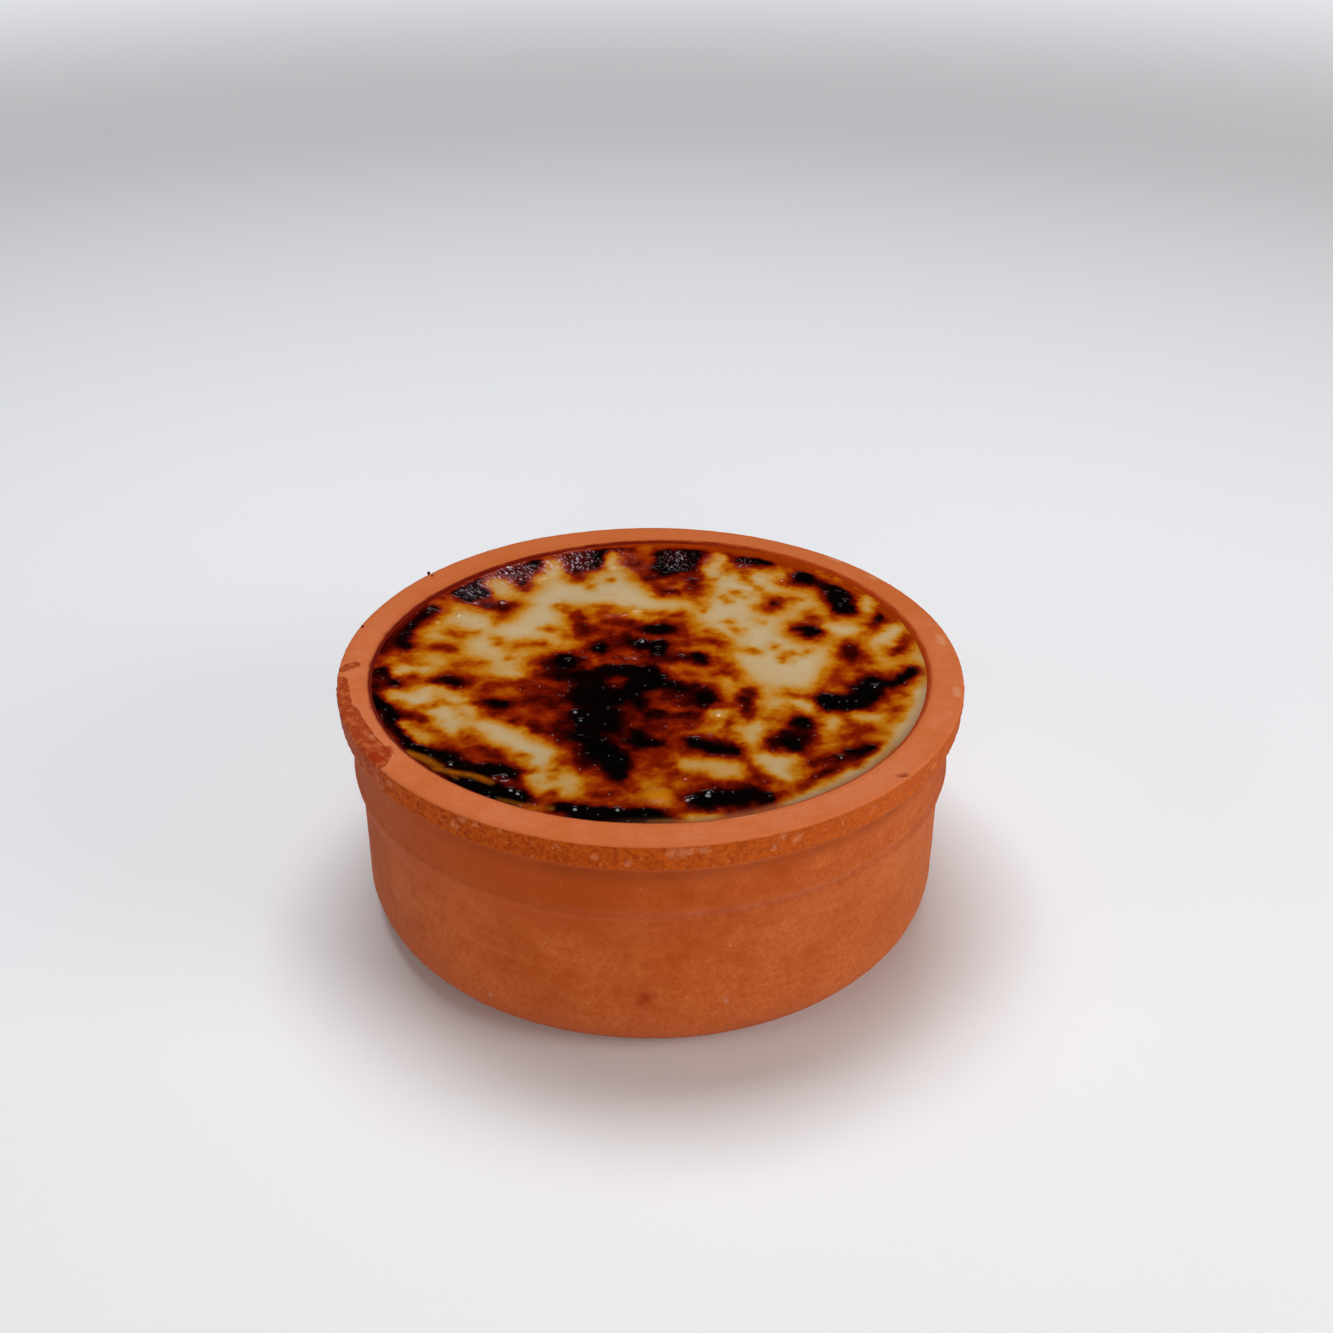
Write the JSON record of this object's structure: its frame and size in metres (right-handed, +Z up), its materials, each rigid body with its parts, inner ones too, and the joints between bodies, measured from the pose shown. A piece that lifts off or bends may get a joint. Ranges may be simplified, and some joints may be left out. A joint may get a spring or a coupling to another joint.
{
  "type": "milk halva in a clay dish",
  "caption": "Baked milk dessert with a scorched, glossy skin, filling a low round unglazed clay dish with a banded rim.",
  "frame": {"origin": "middle of the flat underside of the foot, on the surface that the dish stands on", "axes": "+Z up through the middle of the dish, +Y away from the front, +X to the right seen from the front"},
  "size_m": [0.12, 0.12, 0.0495],
  "materials": {
    "unglazed_clay": "matte",
    "baked_milk": "gloss"
  },
  "bodies": {
    "root": {"clay_dish": "unglazed_clay", "milk_halva": "baked_milk"}
  },
  "joints": []
}
